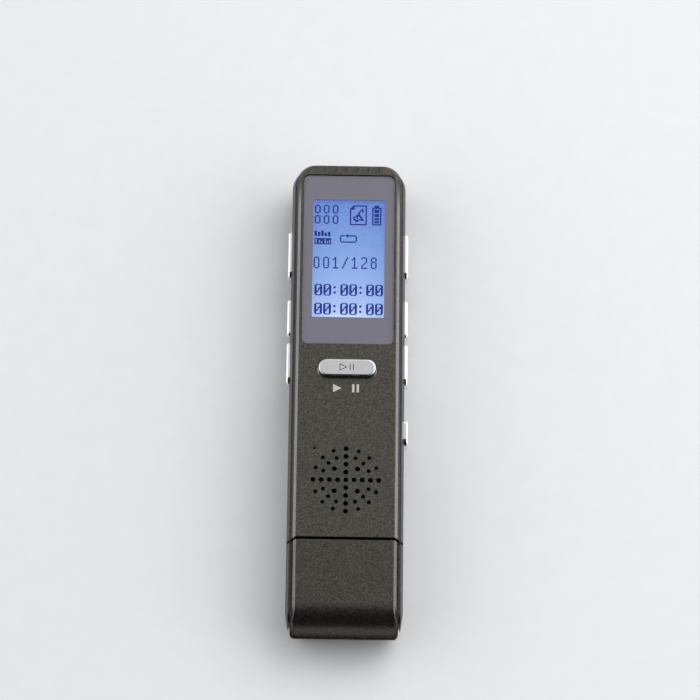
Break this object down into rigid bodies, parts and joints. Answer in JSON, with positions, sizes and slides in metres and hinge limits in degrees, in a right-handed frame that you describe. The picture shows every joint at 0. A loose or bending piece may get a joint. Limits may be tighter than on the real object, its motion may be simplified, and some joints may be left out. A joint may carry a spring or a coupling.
{
  "type": "voice recorder",
  "caption": "Slim metal-faced pocket voice recorder with a small display, side keys, a speaker grille and a pull-off cap over a USB plug.",
  "frame": {"origin": "middle of the back face, which lies on a table at rest", "axes": "+X across the width, +Y along the body from the cap to the microphone end, +Z out of the display face"},
  "size_m": [0.0231, 0.0928, 0.012],
  "materials": {
    "cover_metal": "dark warm gunmetal, fine metallic speckle",
    "rail_metal": "satin",
    "bright_trim": "bright",
    "steel": "plain",
    "gold": "gold flashed",
    "screw_steel": "blackened",
    "window": "polished",
    "mask_print": "printed",
    "display_glass": "lit",
    "backlight": "diffusing",
    "black_plastic": "moulded",
    "white_plastic": "moulded",
    "chip": "moulded",
    "board": "solder mask",
    "ribbon": "film",
    "foil": "pouch foil",
    "foam": "foam",
    "rubber": "moulded",
    "cone_paper": "pressed",
    "mesh": "woven",
    "clear": "moulded clear",
    "wire": "insulation"
  },
  "bodies": {
    "recorder": {"amplifier_chip": "chip", "battery": "foil", "battery_leads": "wire", "battery_tape": "foam", "board_capacitors": "cone_paper", "circuit_board": "board", "clock_crystal": "steel", "cover_screws": "screw_steel", "display_backlight": "backlight", "display_glass": "display_glass", "display_lens": "window", "display_mask": "mask_print", "display_ribbon": "ribbon", "display_tray": "white_plastic", "front_cover": "cover_metal", "grille_mesh": "mesh", "indicator_led": "white_plastic", "jack_barrel": "steel", "jack_body": "black_plastic", "jack_contacts": "gold", "light_pipe": "clear", "main_chip": "chip", "memory_chip": "chip", "microphone_boot": "rubber", "microphones": "steel", "play_switch": "black_plastic", "plug_mount": "black_plastic", "rear_cover": "cover_metal", "side_frame": "rail_metal", "side_switches": "steel", "slide_switch": "steel", "speaker_basket": "steel", "speaker_cone": "cone_paper", "speaker_gasket": "foam", "usb_contacts": "gold", "usb_leads": "gold", "usb_shell": "steel", "usb_tongue": "black_plastic"},
    "cap": {"cap_shell": "cover_metal", "cap_liner": "black_plastic", "cap_left_rail": "rail_metal", "cap_right_rail": "rail_metal"},
    "play": {"play_button": "bright_trim", "play_plunger": "black_plastic"},
    "slider": {"power_slider": "bright_trim"},
    "menu": {"menu_key": "bright_trim", "menu_plunger": "black_plastic"},
    "volume_up": {"volume_up_key": "bright_trim", "volume_up_plunger": "black_plastic"},
    "volume_down": {"volume_down_key": "bright_trim", "volume_down_plunger": "black_plastic"},
    "record": {"record_key": "bright_trim", "record_plunger": "black_plastic"},
    "previous": {"previous_key": "bright_trim", "previous_plunger": "black_plastic"},
    "next": {"next_key": "bright_trim", "next_plunger": "black_plastic"}
  },
  "joints": [
    {"name": "play_press", "type": "slide", "parent": "recorder", "child": "play", "axis": [0, 0, -1], "range_m": [0, 0.0003], "stiffness_N_per_m": 300},
    {"name": "menu_press", "type": "slide", "parent": "recorder", "child": "menu", "axis": [1, 0, 0], "range_m": [0, 0.0003], "stiffness_N_per_m": 300},
    {"name": "volume_up_press", "type": "slide", "parent": "recorder", "child": "volume_up", "axis": [1, 0, 0], "range_m": [0, 0.0003], "stiffness_N_per_m": 300},
    {"name": "volume_down_press", "type": "slide", "parent": "recorder", "child": "volume_down", "axis": [1, 0, 0], "range_m": [0, 0.0003], "stiffness_N_per_m": 300},
    {"name": "record_press", "type": "slide", "parent": "recorder", "child": "record", "axis": [-1, 0, 0], "range_m": [0, 0.0003], "stiffness_N_per_m": 300},
    {"name": "previous_press", "type": "slide", "parent": "recorder", "child": "previous", "axis": [-1, 0, 0], "range_m": [0, 0.0003], "stiffness_N_per_m": 300},
    {"name": "next_press", "type": "slide", "parent": "recorder", "child": "next", "axis": [-1, 0, 0], "range_m": [0, 0.0003], "stiffness_N_per_m": 300},
    {"name": "power_slide", "type": "slide", "parent": "recorder", "child": "slider", "axis": [0, 1, 0], "range_m": [0, 0.002]},
    {"name": "cap_pull", "type": "slide", "parent": "recorder", "child": "cap", "axis": [0, -1, 0], "range_m": [0, 0.025]}
  ]
}
